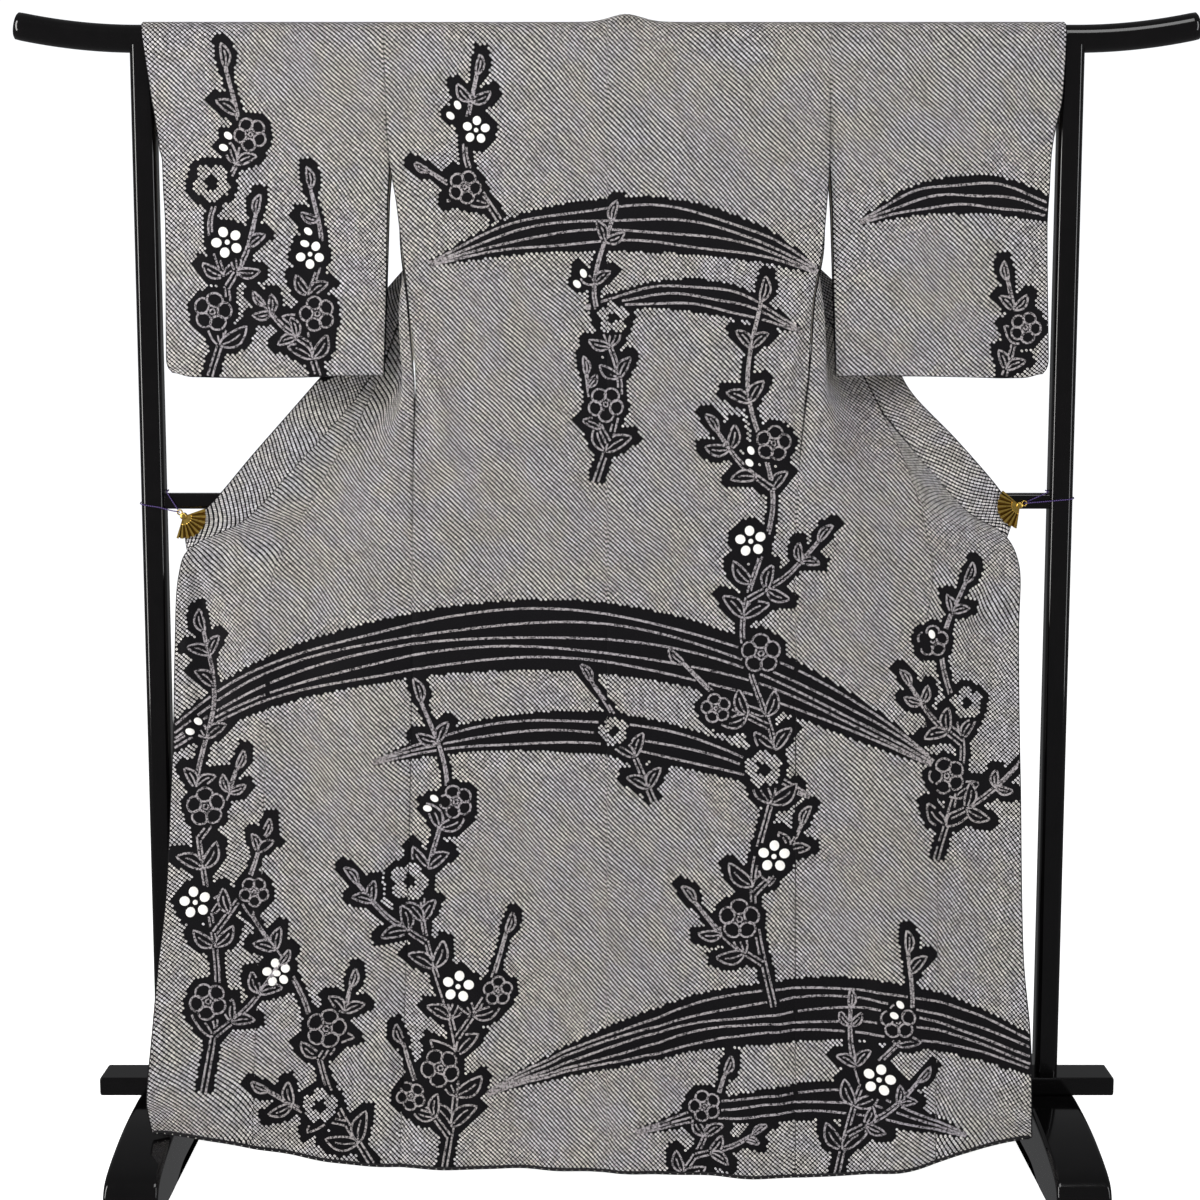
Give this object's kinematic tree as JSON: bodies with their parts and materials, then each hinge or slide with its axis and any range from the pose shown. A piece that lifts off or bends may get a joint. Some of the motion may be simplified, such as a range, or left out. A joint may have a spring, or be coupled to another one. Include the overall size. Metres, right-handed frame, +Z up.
{
  "type": "silk kimono on a lacquered stand",
  "caption": "Lined long silk kimono in tie-dyed spots, draped over the rail of a free-standing lacquered stand with its fronts clipped open.",
  "frame": {"origin": "floor point under the middle of the stand", "axes": "+X along the rail, to the viewer's right; -Y towards the viewer, who sees the kimono's back; +Z up"},
  "size_m": [1.6418, 0.542, 1.6377],
  "materials": {
    "shibori_silk": "all-over tied spots, soft sheen",
    "lining_silk": "smooth silk, soft sheen",
    "facing_silk": "smooth silk, soft sheen",
    "lacquer": "gloss lacquer",
    "gilt": "polished",
    "cord": "twisted cord"
  },
  "bodies": {
    "root": {"body_left": "shibori_silk", "lining_left": "lining_silk", "hem_facing_back_left": "facing_silk", "hem_facing_front_left": "facing_silk", "overlap_left": "shibori_silk", "overlap_lining_left": "facing_silk", "sleeve_left": "shibori_silk", "sleeve_lining_left": "lining_silk", "post_left": "lacquer", "foot_left": "lacquer", "clip_left": "gilt", "cord_left": "cord", "body_right": "shibori_silk", "lining_right": "lining_silk", "hem_facing_back_right": "facing_silk", "hem_facing_front_right": "facing_silk", "overlap_right": "shibori_silk", "overlap_lining_right": "facing_silk", "sleeve_right": "shibori_silk", "sleeve_lining_right": "lining_silk", "post_right": "lacquer", "foot_right": "lacquer", "clip_right": "gilt", "cord_right": "cord", "collar": "shibori_silk", "rail": "lacquer", "middle_bar": "lacquer", "base_bar": "lacquer"}
  },
  "joints": []
}
